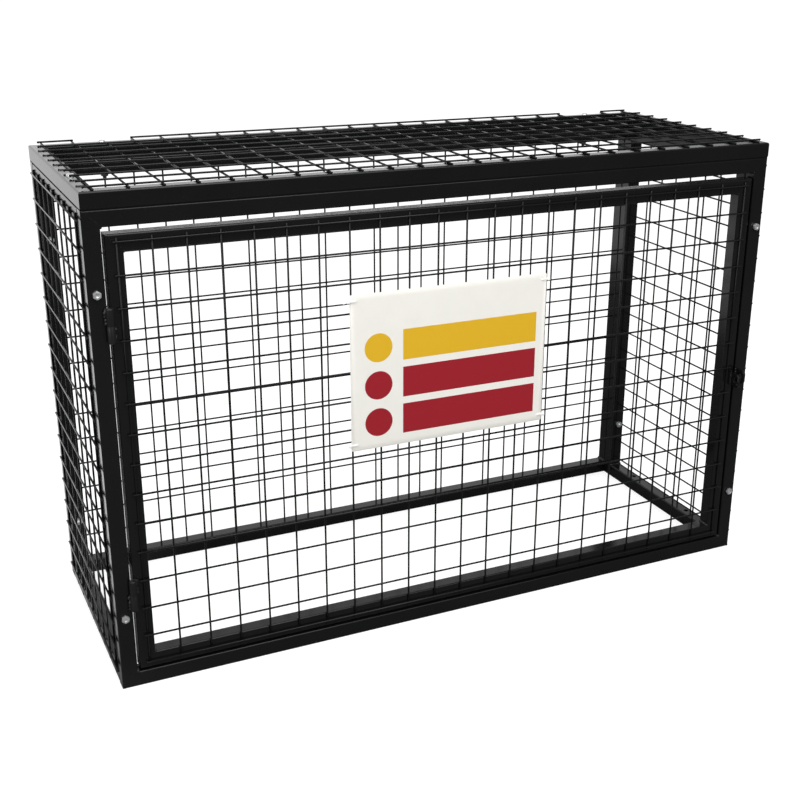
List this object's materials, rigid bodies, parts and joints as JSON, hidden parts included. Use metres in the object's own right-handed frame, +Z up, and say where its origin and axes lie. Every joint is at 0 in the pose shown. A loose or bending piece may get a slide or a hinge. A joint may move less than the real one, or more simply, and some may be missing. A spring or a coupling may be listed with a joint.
{
  "type": "gas cylinder storage cage",
  "caption": "Free-standing cage of welded mesh on square box-section frames, with an open base and one wide hinged front door with padlock lugs.",
  "frame": {"origin": "on the floor under the middle of the object's footprint", "axes": "+X to the cage's right as one faces its door, +Y from the door to the back, +Z up"},
  "size_m": [1.4088, 0.5444, 0.9344],
  "materials": {
    "black_paint": "gloss powder coat",
    "sign_face": "semi-matt rigid sheet",
    "tie_nylon": "natural nylon",
    "zinc": "bright zinc plate"
  },
  "bodies": {
    "cage": {"front_bottom_rail": "black_paint", "front_top_rail": "black_paint", "front_left_upright": "black_paint", "front_right_upright": "black_paint", "left_bottom_rail": "black_paint", "left_top_rail": "black_paint", "left_front_post": "black_paint", "left_rear_post": "black_paint", "left_mesh": "black_paint", "right_bottom_rail": "black_paint", "right_top_rail": "black_paint", "right_front_post": "black_paint", "right_rear_post": "black_paint", "right_mesh": "black_paint", "back_bottom_rail": "black_paint", "back_top_rail": "black_paint", "back_left_post": "black_paint", "back_right_post": "black_paint", "back_mesh": "black_paint", "top_front_rail": "black_paint", "top_back_rail": "black_paint", "top_left_rail": "black_paint", "top_right_rail": "black_paint", "top_mesh": "black_paint", "upper_hinge_frame_half": "black_paint", "lower_hinge_frame_half": "black_paint", "frame_lug": "black_paint"},
    "door": {"door_bottom_rail": "black_paint", "door_top_rail": "black_paint", "door_left_stile": "black_paint", "door_right_stile": "black_paint", "door_mesh": "black_paint", "sign_plate": "sign_face", "sign_ties": "tie_nylon", "upper_hinge_door_half": "black_paint", "lower_hinge_door_half": "black_paint", "door_lug": "black_paint"}
  },
  "joints": [
    {"name": "door_hinge", "type": "hinge", "parent": "cage", "child": "door", "pos_m": [-0.6655, -0.2515, 0.035], "axis": [0, 0, -1], "range_deg": [0, 165]}
  ]
}
